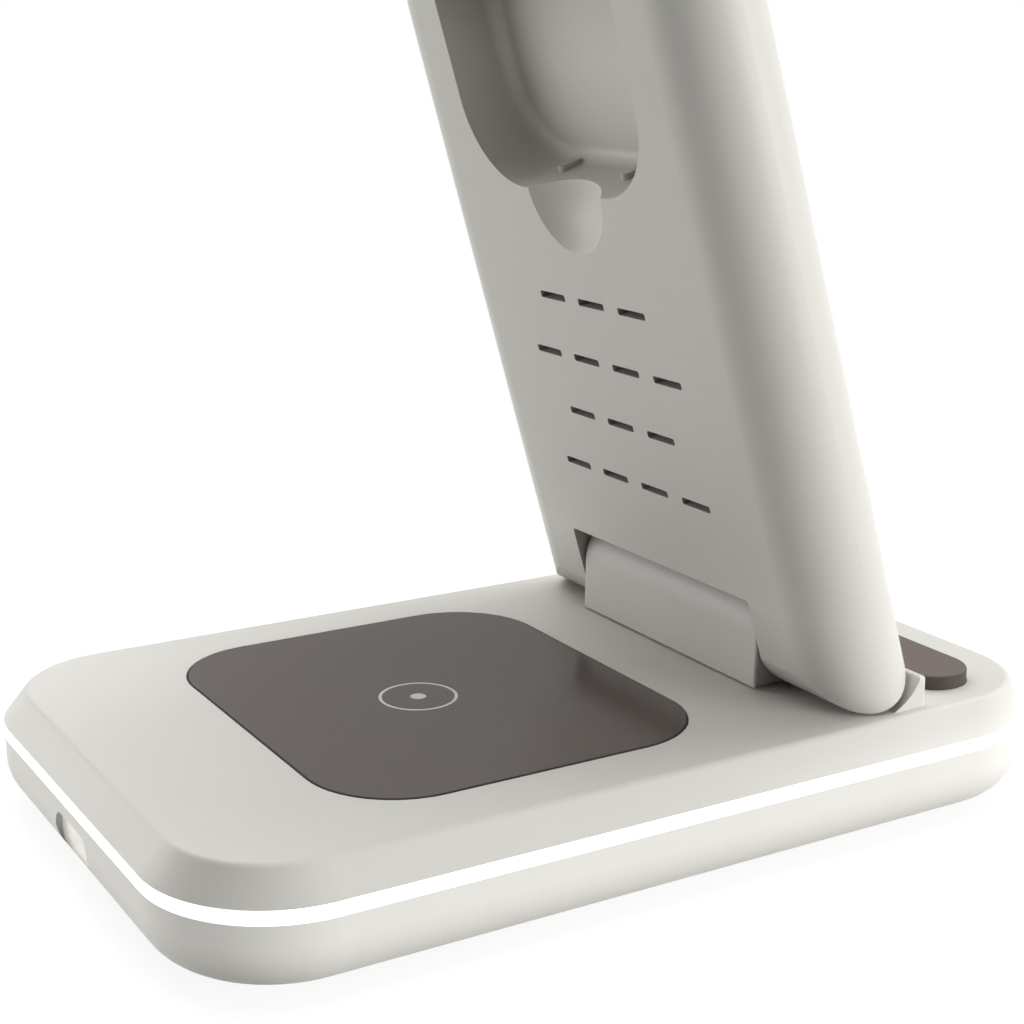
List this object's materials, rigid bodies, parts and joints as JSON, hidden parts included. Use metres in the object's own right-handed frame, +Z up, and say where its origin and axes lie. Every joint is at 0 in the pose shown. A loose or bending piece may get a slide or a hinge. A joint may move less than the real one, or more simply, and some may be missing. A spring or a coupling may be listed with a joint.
{
  "type": "folding wireless charging stand",
  "caption": "Folding wireless charging stand: flat base with earbud pad, light ring and phone rest, leaning phone panel on a hinge, and a fold-out watch arm.",
  "frame": {"origin": "middle of the base's footprint, on the surface it stands on", "axes": "+Z up, +Y from the phone rest to the cable end, +X across the base"},
  "size_m": [0.086, 0.1292, 0.1282],
  "materials": {
    "shell": "satin warm white moulded plastic",
    "gloss": "glossy dark taupe plastic",
    "puck": "glossy white plastic",
    "light": "milky light guide, lit from inside",
    "rubber": "matte taupe silicone rubber",
    "steel": "plain steel",
    "copper": "wound copper wire",
    "ferrite": "dark sintered sheet",
    "board": "green circuit board",
    "chip": "black moulded chips and chokes"
  },
  "bodies": {
    "base": {"bottom_shell": "shell", "light_ring": "light", "light_strip": "board", "top_shell": "shell", "earbud_pad": "gloss", "phone_rest": "rubber", "earbud_coil": "copper", "earbud_ferrite": "ferrite", "main_board": "board", "board_chips": "chip", "usb_socket": "steel", "ballast": "steel", "feet": "rubber", "shell_screws": "steel", "hinge_block": "shell", "block_screws": "steel", "hinge_pins": "steel"},
    "panel": {"panel_housing": "shell", "front_plate": "gloss", "phone_coil": "copper", "phone_ferrite": "ferrite", "panel_board": "board", "panel_chips": "chip", "panel_screws": "steel", "hinge_sleeves": "steel", "arm_pins": "steel"},
    "watch_arm": {"arm_shell": "shell", "watch_puck": "puck", "watch_coil": "copper", "watch_magnet": "steel", "watch_ferrite": "ferrite"}
  },
  "joints": [
    {"name": "panel_hinge", "type": "hinge", "parent": "base", "child": "panel", "pos_m": [0, -0.0329, 0.0239], "axis": [-1, 0, 0], "range_deg": [0, 73.39]},
    {"name": "watch_arm_hinge", "type": "hinge", "parent": "panel", "child": "watch_arm", "pos_m": [0, -0.00254, 0.11482], "axis": [-1, 0, 0], "range_deg": [0, 125]}
  ]
}
